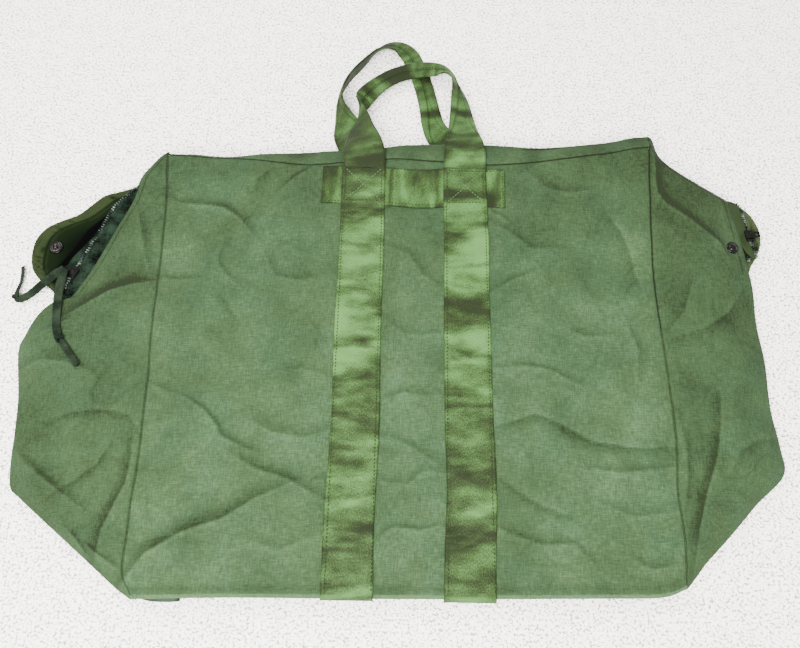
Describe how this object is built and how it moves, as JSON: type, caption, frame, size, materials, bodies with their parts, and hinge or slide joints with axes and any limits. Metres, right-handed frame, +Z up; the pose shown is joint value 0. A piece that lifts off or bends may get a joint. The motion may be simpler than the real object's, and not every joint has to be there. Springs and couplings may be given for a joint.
{
  "type": "kit bag",
  "caption": "Folded flat canvas holdall with a full-length top zip, wrap-around webbing straps, two webbing hand loops and snap-fastened ends",
  "frame": {"origin": "on the floor at the middle of the footprint, thongs left out", "axes": "+X across the bag to its right end, +Y from the bottom fold to the handles, +Z up from the floor"},
  "size_m": [0.8575, 0.6972, 0.0481],
  "materials": {
    "nylon_cloth": "plain-weave nylon, slightly faded",
    "webbing": "woven nylon webbing with a soft sheen",
    "zip_tape": "dark woven tape",
    "zip_teeth": "blackened metal teeth, worn bright at the tips",
    "zip_hardware": "blackened metal",
    "thong": "flat braided cotton tape, dark grey green",
    "snap_black": "black enamelled brass",
    "snap_metal": "oxidised brass"
  },
  "bodies": {
    "bag": {"back_panel": "nylon_cloth", "bottom_panel": "nylon_cloth", "front_panel": "nylon_cloth", "gusset_left": "nylon_cloth", "gusset_right": "nylon_cloth", "handle_patch_back": "webbing", "handle_patch_front": "webbing", "snap_cap_left": "snap_black", "snap_cap_right": "snap_black", "snap_socket_left": "snap_metal", "snap_socket_right": "snap_metal", "snap_stud_cap_left": "snap_black", "snap_stud_cap_right": "snap_black", "snap_stud_left": "snap_metal", "snap_stud_right": "snap_metal", "strap_left": "webbing", "strap_right": "webbing", "top_band_back": "nylon_cloth", "top_band_front": "nylon_cloth", "zip_stop_left": "zip_teeth", "zip_stop_right": "zip_teeth", "zip_tape_back": "zip_tape", "zip_tape_front": "zip_tape", "zip_teeth_back": "zip_teeth", "zip_teeth_front": "zip_teeth"},
    "handle_front": {"handle_front": "webbing"},
    "handle_back": {"handle_back": "webbing"},
    "slider_left": {"zip_slider_left": "zip_hardware", "thong_outer_left": "thong", "thong_inner_left": "thong"},
    "pull_left": {"zip_pull_left": "zip_hardware"},
    "slider_right": {"zip_slider_right": "zip_hardware"},
    "pull_right": {"zip_pull_right": "zip_hardware"}
  },
  "joints": [
    {"name": "handle_front_lift", "type": "hinge", "parent": "bag", "child": "handle_front", "pos_m": [0, 0.131, 0.04581], "axis": [1, 0, 0], "range_deg": [0, 75]},
    {"name": "handle_back_lift", "type": "hinge", "parent": "bag", "child": "handle_back", "pos_m": [0, 0.1835, 0.001], "axis": [1, 0, 0], "range_deg": [0, 75]},
    {"name": "zip_slide_left", "type": "slide", "parent": "bag", "child": "slider_left", "axis": [0.4117, 0.9019, 0.1307], "range_m": [0, 0.105]},
    {"name": "zip_slide_right", "type": "slide", "parent": "bag", "child": "slider_right", "axis": [-0.1347, 0.9878, 0.0786], "range_m": [0, 0.036]},
    {"name": "zip_pull_left_lift", "type": "hinge", "parent": "slider_left", "child": "pull_left", "pos_m": [-0.35996, -0.00874, 0.02268], "axis": [0.4117, 0.9019, 0.1307], "range_deg": [0, 70], "deforming": ["thong_outer_left", "thong_inner_left"]},
    {"name": "zip_pull_right_lift", "type": "hinge", "parent": "slider_right", "child": "pull_right", "pos_m": [0.40458, 0.0581, 0.01944], "axis": [0.1347, -0.9878, -0.0786], "range_deg": [0, 70]}
  ],
  "couplings": [
    {"joint": "handle_back_lift", "follows": "handle_front_lift", "ratio": 1}
  ]
}
